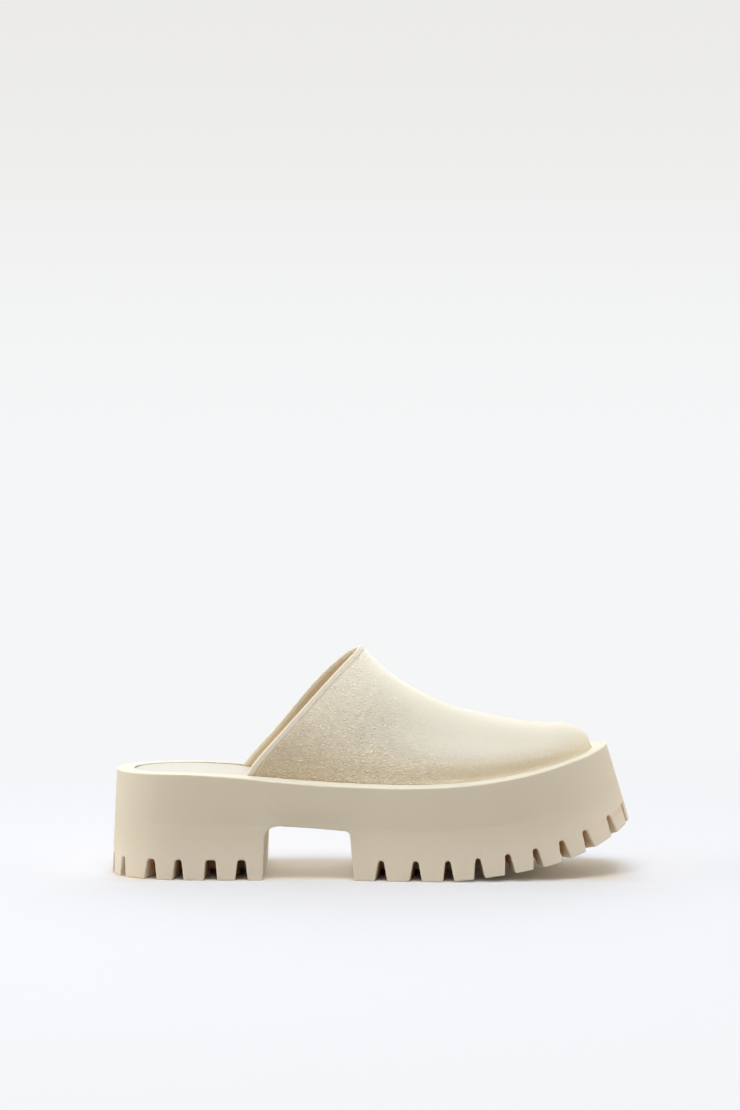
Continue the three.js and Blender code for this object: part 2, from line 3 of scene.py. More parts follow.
import bpy
import numpy as np
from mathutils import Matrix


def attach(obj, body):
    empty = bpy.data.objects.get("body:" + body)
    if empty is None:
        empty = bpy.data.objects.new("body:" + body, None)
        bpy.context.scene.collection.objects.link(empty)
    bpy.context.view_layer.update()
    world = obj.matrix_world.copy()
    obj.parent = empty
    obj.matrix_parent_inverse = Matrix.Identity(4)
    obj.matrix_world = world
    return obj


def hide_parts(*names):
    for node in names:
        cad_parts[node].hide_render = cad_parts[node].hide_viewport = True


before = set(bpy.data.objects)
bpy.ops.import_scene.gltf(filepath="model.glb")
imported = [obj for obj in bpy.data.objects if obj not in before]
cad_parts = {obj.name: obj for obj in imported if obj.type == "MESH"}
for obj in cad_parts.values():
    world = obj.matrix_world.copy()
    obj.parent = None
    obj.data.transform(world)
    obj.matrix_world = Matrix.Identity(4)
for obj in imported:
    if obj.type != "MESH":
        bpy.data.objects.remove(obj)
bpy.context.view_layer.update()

# Meshes are made in metres; +X runs to the toe, +Y to the inner side, +Z up
METRES = 0.001

# Overall sizes of the shoe, in millimetres as all lengths are that don't say metres
SOLE_LENGTH = 280
BALL_WIDTH = 98.4
HEEL_HEIGHT = 56
TOE_SPRING = 28.1
TOE_LEAN = 11
UPPER_RISE = 71.5

# Side wall of the sole
RIM_INSET = 1.5
CREASE_SHARE = 0.53
CREASE_DEPTH = 1.9
CREASE_SHARPNESS = 34
CREASE_FADE = 6
RIM_BEVEL = 1.3
RIM_CROWN = 3.4
LEDGE_WIDTH = 8.6
UNDERCUT_DEPTH = 1.5
UNDERCUT_RISE = 12

# Cut-out under the arch
ARCH_REAR_SHARE = 0.2955
ARCH_FRONT_SHARE = 0.468
ARCH_HEIGHT_REAR = 28.2
ARCH_HEIGHT_FRONT = 25.8
ARCH_REAR_RADIUS = 8
ARCH_FRONT_RADIUS = 3
ARCH_REAR_DRAFT = 0.8
ARCH_FRONT_DRAFT = 2.2

# Notches that part the lugs round the tread, and the grooves that join them across it
NOTCH_DEPTH = 10.6
NOTCH_REACH = 22
END_NOTCH_REACH = 14
NOTCH_RADIUS = 1.1
NOTCH_WIDTH = 6.5
GROOVE_WIDTH = 3
GROOVE_DEPTH = 3.6
GROOVE_END_SHARE = 0.1

# Tray in the top of the sole, with the insole and the foot of the upper in it
TRAY_DEPTH = 5.4
CLEARANCE = 0.3
WALL = 2.4
INSOLE_GROOVE = 0.5
INSOLE_DROP = 2.2
INSOLE_HEEL_DROP = 0.5
INSOLE_ROUND = 0.6
INSOLE_DISH = 1
INSOLE_SLOPE = (0.1, 0.5)
INSOLE_CLOSE = 0.98

# Collar of the upper
COLLAR_LATERAL_SHARE = 0.2629
COLLAR_MEDIAL_SHARE = 0.2475
COLLAR_BOW = 8
BAND_WIDTH = 2.1
BAND_STEP = 0.35
SEAM_DEPTH = 0.25
SEAM_WIDTH = 0.45

# Small hollow where the upper meets the ledge, growing towards the toe
FILLET = 1.3
FILLET_RISE = 1.1
FILLET_REACH = (0.12, 0.45)

# How finely the meshes are divided
LOOP_POINTS = 640
WALL_ROWS = 24
BEVEL_ROWS = 5
CURVE_STEPS = 6
VOXEL = 0.52
SMOOTHING = 4
SMOOTH_SHARE = 0.5
SOLE_TRIANGLES = 180000
UPPER_STATIONS = 170
BAND_STATIONS = 41
UPPER_STEPS = 150
BEAD_STEPS = 8
FOOT_CROWDING = 1.6
WELD_REACH = 0.02
INSOLE_POINTS = 320
INSOLE_ROWS = 14

# Outline of the tread: along the length from the heel, and across the ball's width
OUTLINE = {
    "along": [0, 0.009, 0.029, 0.07, 0.121, 0.19, 0.33, 0.464, 0.56, 0.68]
    + [0.793, 0.857, 0.911, 0.954, 0.985, 1, 0.991, 0.966, 0.925, 0.871]
    + [0.78, 0.66, 0.557, 0.464, 0.33, 0.196, 0.129, 0.075, 0.036, 0.009],
    "across": [-0.035, -0.168, -0.279, -0.365, -0.412, -0.431, -0.428, -0.443, -0.476, -0.5]
    + [-0.47, -0.43, -0.372, -0.287, -0.168, 0.01, 0.158, 0.285, 0.39, 0.459]
    + [0.5, 0.472, 0.413, 0.368, 0.342, 0.356, 0.348, 0.301, 0.222, 0.108],
}

# Side view of the sole: tread as a share of TOE_SPRING, top of HEEL_HEIGHT, lean of TOE_LEAN, bevel of
# RIM_BEVEL, and the ledge on either side of LEDGE_WIDTH
SIDE_VIEW = {
    "along": [0, 0.08, 0.16, 0.24, 0.32, 0.4, 0.48, 0.56, 0.64, 0.72, 0.8, 0.86, 0.92, 0.96, 1],
    "tread": [0, 0, 0, 0, 0, 0, 0, 0, 0.011, 0.085, 0.21, 0.35, 0.575, 0.775, 1],
    "top": [1.004, 1.002, 1, 0.98, 0.945, 0.914, 0.898, 0.893]
    + [0.907, 0.938, 0.989, 1.043, 1.116, 1.171, 1.241],
    "lean": [-0.1, -0.03, 0, 0, 0, 0, 0, 0, 0.09, 0.345, 0.65, 0.86, 0.97, 1, 1],
    "bevel": [0.35, 0.35, 0.35, 0.55, 0.95, 1, 1, 1, 1, 1, 1, 0.9, 0.7, 0.5, 0.35],
    "lateral": [1.06, 1, 0.98, 1.02, 1.2, 1.3, 1.15, 0.98, 0.92, 0.94, 0.94, 0.9, 0.86, 0.86, 0.88],
    "medial": [1.06, 1, 0.92, 0.66, 0.52, 0.5, 0.55, 0.65, 0.76, 0.85, 0.9, 0.9, 0.86, 0.86, 0.88],
}

# Notches on both sides of the tread: place along it, widths at foot and head as shares of NOTCH_WIDTH. The
# last one's widths are also those of the single notch at the tip
NOTCHES = [
    (0.0036, 0.95, 0.45),
    (0.027, 0.75, 0.4),
    (0.0812, 1.08, 0.6),
    (0.1362, 0.92, 0.5),
    (0.1976, 1.08, 0.8),
    (0.255, 1.03, 0.62),
    (0.5179, 1.01, 0.4),
    (0.5829, 1.03, 0.4),
    (0.645, 0.92, 0.38),
    (0.705, 0.9, 0.38),
    (0.7604, 0.9, 0.38),
    (0.8154, 0.88, 0.38),
    (0.8675, 0.9, 0.4),
    (0.915, 0.9, 0.4),
    (0.9643, 0.85, 0.4),
    (0.993, 0.8, 0.4),
]

# Ridge of the upper from the collar to the toe: rise above the ledge as a share of UPPER_RISE
RIDGE = {
    "along": [0.4825, 0.513, 0.548, 0.595, 0.653, 0.714, 0.786, 0.839, 0.874, 0.8975, 0.918],
    "rise": [1, 0.876, 0.766, 0.649, 0.534, 0.448, 0.35, 0.283, 0.243, 0.188, 0.106],
    "across": [0, 0.002, 0.006, 0.012, 0.02, 0.026, 0.03, 0.032, 0.034, 0.034, 0.034],
}

# Cross sections of the upper from collar to toe: powers of its curves, and the bulge over the foot, which
# is back to nothing at a share 1 / BULGE_TURN of the height
SECTIONS = {
    "along": [0, 0.35, 0.7, 1],
    "lateral": [2.35, 2.2, 2.15, 2.2],
    "medial": [2.45, 2.3, 2.2, 2.2],
    "bulge": [0.06, 0.07, 0.06, 0.03],
}
BULGE_TURN = 1.4

# How far the collar's edge bows back from a straight line, as shares of COLLAR_BOW, and the power by which
# that bow fades along the upper
COLLAR = {
    "along": [0, 0.1, 0.3, 0.5, 0.7, 0.85, 0.95, 1],
    "lateral": [0, 0.2, 0.22, 0.21, 0.15, 0.08, -0.02, 0],
    "medial": [0, 0.12, 0.21, 0.45, 0.63, 0.56, 0.35, 0],
}
BOW_FADE = 3

# Pebbles of the grain: their width, how far they are bent, how they stretch, and how far each slopes into
# its furrow. The fine creases drawn along the shoe: their stretch, their height, where their tops begin and
# how much of the furrows' shade they take away. Then the height of the finest grain
GRAIN_SIZE = 1.5
PEBBLE_BEND = 2
PEBBLE_STRETCH = (0.65, 1.0, 1.15)
FURROW_WIDTH = 0.45
DRAWN_STRETCH = (0.35, 1.0, 1.0)
DRAWN_HEIGHT = 0.4
DRAWN_EDGE = (0.42, 0.62)
DRAWN_LOSS = 0.45
FINE_HEIGHT = 0.06

# Grain of the upper: its depth, how much painted shade darkens its furrows, where it starts beside the band
# as shares of BAND_WIDTH, where it fades towards the toe, on what faces up and towards the crest, and how
# much of it is lost there and on the painted tan shade inside
GRAIN_DEPTH = 0.56
FURROW_SHADE = 0.36
GRAIN_START = (0.9, 1.4)
BAND_END = (0.75, 0.95)
TOE_FADE = (-5, 75)
TOP_FADE = (0.35, 0.9)
CREST_FADE = (18, 56)
GRAIN_LOSS = {"toe": 0.7, "top": 0.75, "crest": 0.5, "inside_shade": 0.4}

# Painted light and shade on the leather: heights above the ledge over which a painted highlight grows
# towards the crest and a painted warm shade towards its foot, how strong that shade is there, how far the
# painted warm shade of the waist reaches up and forwards, where the painted tan shade inside starts behind
# the collar's edge, and the painted shade in the furrow beside the band
CREST_HIGHLIGHT = (30, 68)
FOOT_TONE = (3, 16)
FOOT_WARM_SHADE = 0.55
WARM_RISE = 55
WARM_REACH = 130
INSIDE_SHADE_EDGE = (0.4, 1.6)
SEAM_SHADE = 0.5

# Painted light and shade on the sole: heights above the tread over which the lugs' painted floor bounce
# ends, and distances from the tread's edge over which the painted shade inside the notches and the painted
# light under the arch begin
LUG_BOUNCE_HEIGHTS = (7, 26)
NOTCH_SHADE_DEPTHS = (1.2, 4)
ARCH_LIGHT_DEPTHS = (3.2, 5)

# Sizes of the soft patterns in the foam and in the leather, and the roughness of the leather's furrows and
# of its pebbles
FOAM = {"clouds": 38, "specks": 1.6, "skin": 0.5, "flow": 9}
LEATHER = {"clouds": 34, "wide": 13, "warp": 4.5, "drawn": 1.1, "fine": 0.4}
LEATHER_ROUGHNESS = (0.62, 0.5)
SOLE_ROUGHNESS = 0.6
INSOLE_ROUGHNESS = 0.7

# Screen colours from 0 to 255. Many carry painted light and shade, as the comments below say
COLOURS = {
    # Painted light and shade: the sole is lighter where it faces up than on its sides
    "sole_side": (211, 199, 175),
    "sole_top": (236, 230, 211),
    # Painted floor bounce: the lugs are lighter near the tread
    "lug_floor_bounce": (220, 207, 185),
    # Painted warm shade deep inside the notches
    "notch_shade": (208, 172, 126),
    # Painted light: the walls under the arch are paler, as if lit by the floor beneath
    "arch": (232, 226, 214),
    "insole": (219, 216, 205),
    # Painted light and shade: the leather's side colour where it faces sideways, its darker top colour
    # where it faces up
    "leather_side": (245, 234, 209),
    "leather_top": (228, 222, 205),
    # Painted warm shade at the leather's foot and waist
    "leather_shaded_warm": (224, 206, 176),
    # Painted highlight towards the leather's crest
    "leather_crest_highlight": (250, 244, 227),
    # Painted shade in the grain's furrows and in the furrow beside the band
    "furrows": (156, 135, 102),
    "band": (231, 221, 201),
    # Painted warm tan shade on the inside of the upper
    "inside_shade": (212, 187, 147),
    "paper": (223, 224, 229),
    # Painted warm shadow: the paper beneath the shoe
    "paper_warm_shadow": (227, 219, 205),
    "glow": (245, 246, 247),
    "glow_high": (236, 235, 233),
    # Painted warm bounce light: the glow beneath the shoe
    "glow_warm_bounce": (240, 230, 212),
}

# Floor in metres: its front, the start and radius of its sweep, its top and half its width
FLOOR_FRONT = -12.0
FLOOR_BACK = 2.2
FLOOR_BEND = 1.0
FLOOR_TOP = 5.0
FLOOR_SIDE = 12.0
FLOOR_STEPS = 24

# Tones of the floor in metres: distances over which its shaded part gives way to an even glow, the share of
# that glow nearby, which as painted light lightens the shoe's cast shadow, and heights over which the glow
# turns greyer
SHADED_REACH = (0.28, 0.75)
NEAR_GLOW = 0.26
GREY_HEIGHTS = (0.25, 1.1)

# Places on the floor in metres, as middle, length, width and soft border: the painted shadows beneath the
# heel and the forefoot, where the glow is left out, and the painted warm shadow beneath the whole shoe
CONTACT_SHADOWS = [(-0.099, 0.082, 0.088, 0.008), (0.068, 0.15, 0.09, 0.008)]
FOOTPRINT = (0, 0.27, 0.078, 0.012)

# Camera: a long lens at the height of a low table, tilted a little down
CAMERA_PLACE = (-0.0006, -1.419, 0.2055)
CAMERA_TILT = 1.406
CAMERA_LENS = 85
CAMERA_SENSOR = 36
CAMERA_REACH = 20

# Soft boxes: place, width and height in metres, and power. All of them point at the shoe
SOFT_BOXES = [
    ("above", (-0.05, -0.5, 1.8), (1.3, 0.7), 18.9),
    ("above_in_front", (0, -1.0, 1.6), (1.4, 0.8), 5.0),
    ("in_front", (-0.6, -1.7, 0.95), (1.8, 0.8), 6.2),
    ("above_behind", (0, 0.9, 1.6), (1.6, 0.8), 3.8),
    ("behind", (0, 1.6, 0.9), (1.8, 0.8), 9.2),
    ("left_low", (-1.6, 0, 0.5), (1.0, 0.9), 13.6),
    ("right_low", (1.6, 0, 0.5), (1.0, 0.9), 9.2),
]
LIGHT_TARGET = (0, 0, 0.03)
ROOM_LIGHT = 0.02


def look_up(table, column, along):
    """Smooth value of one column of a table at places along it, by cubic Hermite pieces."""
    places = np.array(table["along"], float)
    values = np.array(table[column], float)
    last = len(places) - 1
    at = np.clip(along, places[0], places[last])
    i = np.clip(np.searchsorted(places, at) - 1, 0, last - 1)
    before = np.maximum(np.arange(last + 1) - 1, 0)
    after = np.minimum(np.arange(last + 1) + 1, last)
    slopes = (values[after] - values[before]) / (places[after] - places[before])
    span = places[i + 1] - places[i]
    t = (at - places[i]) / span
    start = (2 * t**3 - 3 * t**2 + 1) * values[i] + (t**3 - 2 * t**2 + t) * span * slopes[i]
    end = (3 * t**2 - 2 * t**3) * values[i + 1] + (t**3 - t**2) * span * slopes[i + 1]
    return start + end


def mix(a, b, t):
    return a + (b - a) * t


def smoothstep(x, low, high):
    t = np.clip((x - low) / (high - low), 0, 1)
    return t * t * (3 - 2 * t)


def centripetal(points, closed, steps=40):
    """A centripetal Catmull-Rom curve through points, as many small steps from one to the next."""
    points = np.asarray(points, float)
    if closed:
        run = np.vstack([points[-1:], points, points[:2]])
    else:
        run = np.vstack([2 * points[:1] - points[1:2], points, 2 * points[-1:] - points[-2:-1]])
    a, b, c, d = run[:-3], run[1:-2], run[2:-1], run[3:]
    pairs = ((a, b), (b, c), (c, d))
    first, middle, last = (np.linalg.norm(q - p, axis=1, keepdims=True) ** 0.5 for p, q in pairs)
    enter = ((b - a) / first - (c - a) / (first + middle) + (c - b) / middle) * middle
    leave = ((c - b) / middle - (d - b) / (middle + last) + (d - c) / last) * middle
    t = (np.arange(steps) / steps)[None, :, None]
    b, c, enter, leave = (v[:, None, :] for v in (b, c, enter, leave))
    curve = b + enter * t + (3 * (c - b) - 2 * enter - leave) * t**2 + (2 * (b - c) + enter + leave) * t**3
    curve = curve.reshape(-1, points.shape[1])
    return np.vstack([curve, points[:1] if closed else points[-1:]])


def along_line(line, shares):
    """Points of a line at shares of its length."""
    steps = np.linalg.norm(np.diff(line, axis=0), axis=1)
    lengths = np.concatenate([[0], np.cumsum(steps)])
    return np.stack([np.interp(np.asarray(shares) * lengths[-1], lengths, v) for v in line.T], axis=-1)


def bezier(a, b, c, steps=CURVE_STEPS):
    """A quadratic curve from a round b to c."""
    t = np.linspace(0, 1, steps + 1)[:, None]
    a, b, c = (np.asarray(p, float) for p in (a, b, c))
    return a * (1 - t) ** 2 + 2 * b * t * (1 - t) + c * t**2


def length_at(share):
    return (share - 0.5) * SOLE_LENGTH


def share_at(x):
    return x / SOLE_LENGTH + 0.5


def outwards(loop):
    """Level outward direction at each point of a loop."""
    run = np.roll(loop, -1, axis=0) - np.roll(loop, 1, axis=0)
    normals = np.stack([run[:, 1], -run[:, 0]], axis=1)
    return normals / np.linalg.norm(normals, axis=1, keepdims=True)


def inset(loop, distance):
    moved = loop.copy()
    moved[:, :2] -= outwards(loop) * np.reshape(distance, (-1, 1))
    return moved


def raised(loop, height):
    return np.column_stack([loop[:, :2], np.broadcast_to(height, len(loop))])


def tread_loop():
    """The tread's outline, anticlockwise from above, from the middle of the heel."""
    points = np.column_stack([OUTLINE["along"], OUTLINE["across"]])
    line = centripetal(points, True)
    low, high = line.min(axis=0), line.max(axis=0)
    scaled = (points - (low + high) / 2) / (high - low) * [SOLE_LENGTH, BALL_WIDTH]
    loop = along_line(centripetal(scaled, True), np.arange(LOOP_POINTS) / LOOP_POINTS)
    return raised(loop, 0)


def side_view():
    """The sole's loops: tread, rim and tray, with the heights and widths that belong to each point."""
    tread = tread_loop()
    shares = share_at(tread[:, 0])
    tread = raised(tread, TOE_SPRING * np.maximum(0, look_up(SIDE_VIEW, "tread", shares)))
    top = HEEL_HEIGHT * look_up(SIDE_VIEW, "top", shares)
    bevel = RIM_BEVEL * look_up(SIDE_VIEW, "bevel", shares)
    lateral = np.arange(LOOP_POINTS) <= LOOP_POINTS // 2
    ledge = np.where(lateral, look_up(SIDE_VIEW, "lateral", shares), look_up(SIDE_VIEW, "medial", shares))
    rim = inset(tread, RIM_INSET)
    rim[:, 0] -= TOE_LEAN * look_up(SIDE_VIEW, "lean", shares)
    rim[:, 2] = top
    tray = inset(rim, bevel + LEDGE_WIDTH * ledge)
    return {"tread": tread, "rim": rim, "tray": tray, "bevel": bevel, "shares": shares}


SIDE = side_view()


def top_height(x):
    """Height of the sole's top at any x."""
    half = LOOP_POINTS // 2 + 1
    return np.interp(x, SIDE["rim"][:half, 0], SIDE["rim"][:half, 2])


def arch_ceiling(x):
    """Height of the cut-out's ceiling at any x."""
    rear = length_at(ARCH_REAR_SHARE)
    front = length_at(ARCH_FRONT_SHARE)
    return mix(ARCH_HEIGHT_REAR, ARCH_HEIGHT_FRONT, np.clip((x - rear) / (front - rear), 0, 1))


def arch_share(x):
    """0 at both ends of the cut-out and 1 over its middle."""
    t = (share_at(x) - ARCH_REAR_SHARE) / (ARCH_FRONT_SHARE - ARCH_REAR_SHARE)
    return np.sin(np.pi * np.clip(t, 0, 1)) ** 2


def through_loops(loops):
    """Faces of a closed surface through loops of equally many points, closed across at both ends."""
    count = len(loops[0])
    half = count // 2
    i = np.arange(count)
    j = (i + 1) % count
    rows = [np.column_stack([r * count + i, r * count + j, (r + 1) * count + j, (r + 1) * count + i])
            for r in range(len(loops) - 1)]
    faces = np.vstack(rows).tolist()
    last = (len(loops) - 1) * count
    for k in range(half):
        ring = [k, k + 1, count - k - 1, (count - k) % count]
        face = list(dict.fromkeys(ring))
        if len(face) > 2:
            faces.append([last + n for n in face])
            faces.append(face[::-1])
    return np.vstack(loops), faces


def new_object(name, points, faces):
    """A mesh object from points in millimetres."""
    mesh = bpy.data.meshes.new(name)
    mesh.from_pydata((np.asarray(points) * METRES).tolist(), [], faces)
    mesh.update()
    piece = bpy.data.objects.new(name, mesh)
    bpy.context.scene.collection.objects.link(piece)
    return piece


def settle(piece):
    """Puts a piece's modifiers into its mesh."""
    graph = bpy.context.evaluated_depsgraph_get()
    mesh = bpy.data.meshes.new_from_object(piece.evaluated_get(graph))
    piece.modifiers.clear()
    piece.data = mesh


def sole_block():
    """The block of the sole with its softly creased side, bevelled rim, ledge and tray."""
    tread, rim, tray, bevel, shares = (SIDE[key] for key in ("tread", "rim", "tray", "bevel", "shares"))
    edge = raised(rim, rim[:, 2] - bevel)
    loops = []
    for s in np.linspace(0, 1, WALL_ROWS + 1):
        row = mix(tread, edge, s)
        lower, upper = s / CREASE_SHARE, (1 - s) / (1 - CREASE_SHARE)
        sharp = CREASE_SHARPNESS
        soft = -np.log(np.exp(-sharp * lower) + np.exp(-sharp * upper)) / sharp
        crease = CREASE_DEPTH * (1 - np.abs(2 * shares - 1) ** CREASE_FADE) * max(0, soft)
        above = (row[:, 2] - arch_ceiling(row[:, 0])) / UNDERCUT_RISE
        lens = arch_share(row[:, 0]) * np.cos(np.pi / 2 * np.clip(np.abs(above), 0, 1)) ** 2
        loops.append(inset(row, crease + UNDERCUT_DEPTH * lens))
    for s in np.linspace(0, 1, BEVEL_ROWS + 1)[1:]:
        row = inset(rim, np.full(LOOP_POINTS, RIM_CROWN * s))
        loops.append(raised(row, mix(rim[:, 2], top_height(row[:, 0]), s) - bevel * (1 - s) ** 2))
    loops.append(raised(tray, top_height(tray[:, 0])))
    loops.append(raised(tray, top_height(tray[:, 0]) - TRAY_DEPTH))
    return new_object("sole_fine", *through_loops(loops))


def prism(profile, low, high, axes, origin):
    """A prism of a flat anticlockwise profile along the third of three axes."""
    points = []
    for depth in (low, high):
        flat = np.column_stack([profile, np.full(len(profile), depth)])
        points.append(flat @ np.asarray(axes) + origin)
    count = len(profile)
    faces = [[k, (k + 1) % count, count + (k + 1) % count, count + k] for k in range(count)]
    faces.append(list(range(count, 2 * count)))
    faces.append(list(range(count))[::-1])
    return np.vstack(points), faces


def joined(name, solids):
    """One object of several separate solids."""
    points = []
    faces = []
    start = 0
    for solid_points, solid_faces in solids:
        points.append(solid_points)
        faces += [[start + n for n in face] for face in solid_faces]
        start += len(solid_points)
    return new_object(name, np.vstack(points), faces)


def arch_solid():
    """The prism that cuts the arch out."""
    rear, front = length_at(ARCH_REAR_SHARE), length_at(ARCH_FRONT_SHARE)
    rear_top, front_top = rear + ARCH_REAR_DRAFT, front - ARCH_FRONT_DRAFT
    low = -HEEL_HEIGHT / 4
    front_arc = bezier(
        (front_top, ARCH_HEIGHT_FRONT - ARCH_FRONT_RADIUS),
        (front_top, ARCH_HEIGHT_FRONT),
        (front_top - ARCH_FRONT_RADIUS, ARCH_HEIGHT_FRONT),
    )
    rear_arc = bezier(
        (rear_top + ARCH_REAR_RADIUS, ARCH_HEIGHT_REAR),
        (rear_top, ARCH_HEIGHT_REAR),
        (rear_top, ARCH_HEIGHT_REAR - ARCH_REAR_RADIUS),
    )
    profile = np.vstack([(rear, low), (front, low), (front, 0), front_arc, rear_arc, (rear, 0)])
    return prism(profile, -BALL_WIDTH, BALL_WIDTH, [(1, 0, 0), (0, 0, 1), (0, -1, 0)], (0, 0, 0))


def unit(v):
    return v / np.linalg.norm(v)


def edge_place(index):
    """Place on the tread's edge at a point of its loop: forward, axis of a notch, and outward."""
    tread, rim = SIDE["tread"], SIDE["rim"]
    reach = LOOP_POINTS // 128
    forward = unit(tread[(index + reach) % LOOP_POINTS] - tread[(index - reach) % LOOP_POINTS])
    wall = unit(rim[index] - tread[index])
    outward = unit(np.cross(forward, wall))
    axis = (np.cross(outward, forward) + wall) / 2
    return tread[index], forward, axis, outward


def edge_index(share, lateral):
    """The point of the tread's loop that lies at a share of the length on one side."""
    half = LOOP_POINTS // 2
    order = np.arange(half + 1) if lateral else (LOOP_POINTS - np.arange(half + 1)) % LOOP_POINTS
    return int(order[np.argmin(np.abs(SIDE["shares"][order] - share))])


def notch_solid(index, foot, head, reach):
    """One notch, narrower at its rounded head than at the tread."""
    foot, head = foot * NOTCH_WIDTH, head * NOTCH_WIDTH
    below = NOTCH_DEPTH / 2
    spread = (foot - head) / 2 / NOTCH_DEPTH
    outer = foot / 2 + spread * below
    inner = head / 2
    shoulder = inner + spread * NOTCH_RADIUS
    corner = (inner, NOTCH_DEPTH)
    right = bezier((shoulder, NOTCH_DEPTH - NOTCH_RADIUS), corner, (inner - NOTCH_RADIUS, NOTCH_DEPTH))
    left = right[::-1] * [-1, 1]
    profile = np.vstack([(-outer, -below), (outer, -below), right, left])
    point, forward, axis, outward = edge_place(index)
    return prism(profile, -reach, NOTCH_DEPTH, [forward, axis, outward], point)


def groove_solid(lateral, medial):
    """A shallow groove across the tread between two opposite notches."""
    start, _, _, out_start = edge_place(lateral)
    end, _, _, out_end = edge_place(medial)
    start = start - out_start * NOTCH_REACH / 2
    end = end - out_end * NOTCH_REACH / 2
    across = unit((end - start) * [1, 1, 0])
    side = np.array([across[1], -across[0], 0])
    half = GROOVE_WIDTH / 2
    profile = [(-half, -GROOVE_DEPTH), (half, -GROOVE_DEPTH), (half, GROOVE_DEPTH), (-half, GROOVE_DEPTH)]
    reach = np.linalg.norm(end - start) / 2
    return prism(profile, -reach, reach, [-side, (0, 0, 1), across], (start + end) / 2)


def cut(piece, name, solids):
    """Takes separate solids out of a piece."""
    cutter = joined(name, solids)
    step = piece.modifiers.new(name, "BOOLEAN")
    step.operation = "DIFFERENCE"
    step.solver = "MANIFOLD"
    step.object = cutter
    settle(piece)
    bpy.data.objects.remove(cutter)


def make_sole():
    """The sole with its arch, notches and grooves, its edges slightly rounded as moulded foam's are."""
    piece = sole_block()
    ends = [(edge_index(along, True), edge_index(along, False)) for along, _, _ in NOTCHES]
    notches = [notch_solid(LOOP_POINTS // 2, *NOTCHES[-1][1:], END_NOTCH_REACH)]
    grooves = []
    for (along, foot, head), (lateral, medial) in zip(NOTCHES, ends):
        inside = GROOVE_END_SHARE < along < 1 - GROOVE_END_SHARE
        reach = NOTCH_REACH if inside else END_NOTCH_REACH
        notches += [notch_solid(index, foot, head, reach) for index in (lateral, medial)]
        if inside:
            grooves.append(groove_solid(lateral, medial))
    cut(piece, "arch", [arch_solid()])
    cut(piece, "notches", notches)
    cut(piece, "grooves", grooves)
    remesh = piece.modifiers.new("remesh", "REMESH")
    remesh.mode = "VOXEL"
    remesh.voxel_size = VOXEL * METRES
    smooth = piece.modifiers.new("smooth", "SMOOTH")
    smooth.factor = SMOOTH_SHARE
    smooth.iterations = SMOOTHING
    settle(piece)
    lighter = piece.modifiers.new("lighter", "DECIMATE")
    lighter.ratio = min(1, SOLE_TRIANGLES / (2 * len(piece.data.polygons)))
    settle(piece)
    mark_sole(piece)
    return piece


def mark_sole(piece):
    """Marks each point of the sole by how near it is to the tread, how deep it lies in a notch, and whether
    it lies under the arch, for the painted floor bounce on the lugs, the painted shade in the notches and
    the painted light under the arch."""
    points = np.empty(len(piece.data.vertices) * 3)
    piece.data.vertices.foreach_get("co", points)
    points = points.reshape(-1, 3) / METRES
    tread = SIDE["tread"]
    half = LOOP_POINTS // 2 + 1
    height = points[:, 2] - np.interp(points[:, 0], tread[:half, 0], tread[:half, 2])
    depth = np.full(len(points), BALL_WIDTH)
    for x, y, _ in tread:
        depth = np.minimum(depth, np.hypot(points[:, 0] - x, points[:, 1] - y))
    notched = 1 - smoothstep(height, NOTCH_DEPTH, NOTCH_DEPTH + NOTCH_RADIUS)
    notched = notched * (height > 4 * VOXEL)
    # Painted floor bounce on the lugs, fading with height above the tread
    marked(piece, "lug_floor_bounce", 1 - smoothstep(height, *LUG_BOUNCE_HEIGHTS))
    # Painted warm shade deep inside the notches
    marked(piece, "notch_shade", smoothstep(depth, *NOTCH_SHADE_DEPTHS) * notched)
    # Painted light on the walls under the arch
    middle = length_at((ARCH_REAR_SHARE + ARCH_FRONT_SHARE) / 2)
    reach = length_at(ARCH_FRONT_SHARE) - middle
    within = 1 - smoothstep(np.abs(points[:, 0] - middle), reach, reach + VOXEL)
    below = 1 - smoothstep(points[:, 2] - arch_ceiling(points[:, 0]), 0, VOXEL)
    marked(piece, "arch", within * below * smoothstep(depth, *ARCH_LIGHT_DEPTHS))


def marked(piece, name, values):
    """Keeps a number for each point of a piece, for its material."""
    mark = piece.data.attributes.new(name, "FLOAT", "POINT")
    mark.data.foreach_set("value", values)


